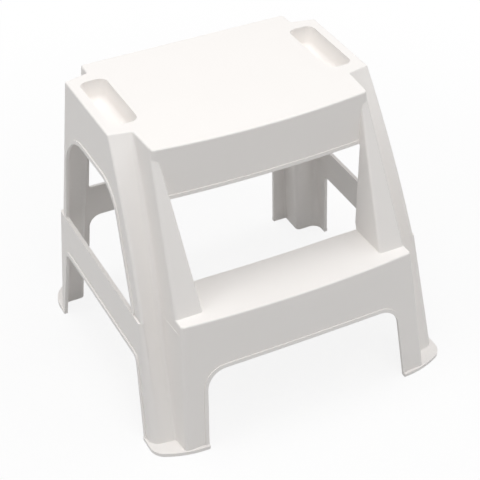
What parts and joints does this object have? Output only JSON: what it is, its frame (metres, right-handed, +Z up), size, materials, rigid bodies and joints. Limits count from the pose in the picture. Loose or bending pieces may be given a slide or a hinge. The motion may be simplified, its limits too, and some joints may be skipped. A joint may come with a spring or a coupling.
{
  "type": "step stool",
  "caption": "Free-standing plastic step stool with a lower step, a wide top tread with sunk hand pockets at its ends, and splayed folded legs.",
  "frame": {"origin": "on the floor, at the middle of the footprint", "axes": "+X to the right as seen from the front, -Y out of the front (the side of the lower step), +Z up"},
  "size_m": [0.4642, 0.425, 0.4],
  "materials": {
    "moulding": "satin white polypropylene, fine grain"
  },
  "bodies": {
    "root": {"top_tread": "moulding", "top_ribs": "moulding", "left_grip": "moulding", "right_grip": "moulding", "front_apron": "moulding", "rear_apron": "moulding", "left_side_panel": "moulding", "right_side_panel": "moulding", "front_left_post": "moulding", "front_right_post": "moulding", "front_left_column": "moulding", "front_right_column": "moulding", "lower_tread": "moulding", "lower_ribs": "moulding", "lower_hem": "moulding", "lower_apron": "moulding", "front_left_leg": "moulding", "front_right_leg": "moulding", "rear_left_leg": "moulding", "rear_right_leg": "moulding", "left_rail": "moulding", "right_rail": "moulding", "rear_rail": "moulding", "front_left_foot": "moulding", "front_right_foot": "moulding", "rear_left_foot": "moulding", "rear_right_foot": "moulding"}
  },
  "joints": []
}
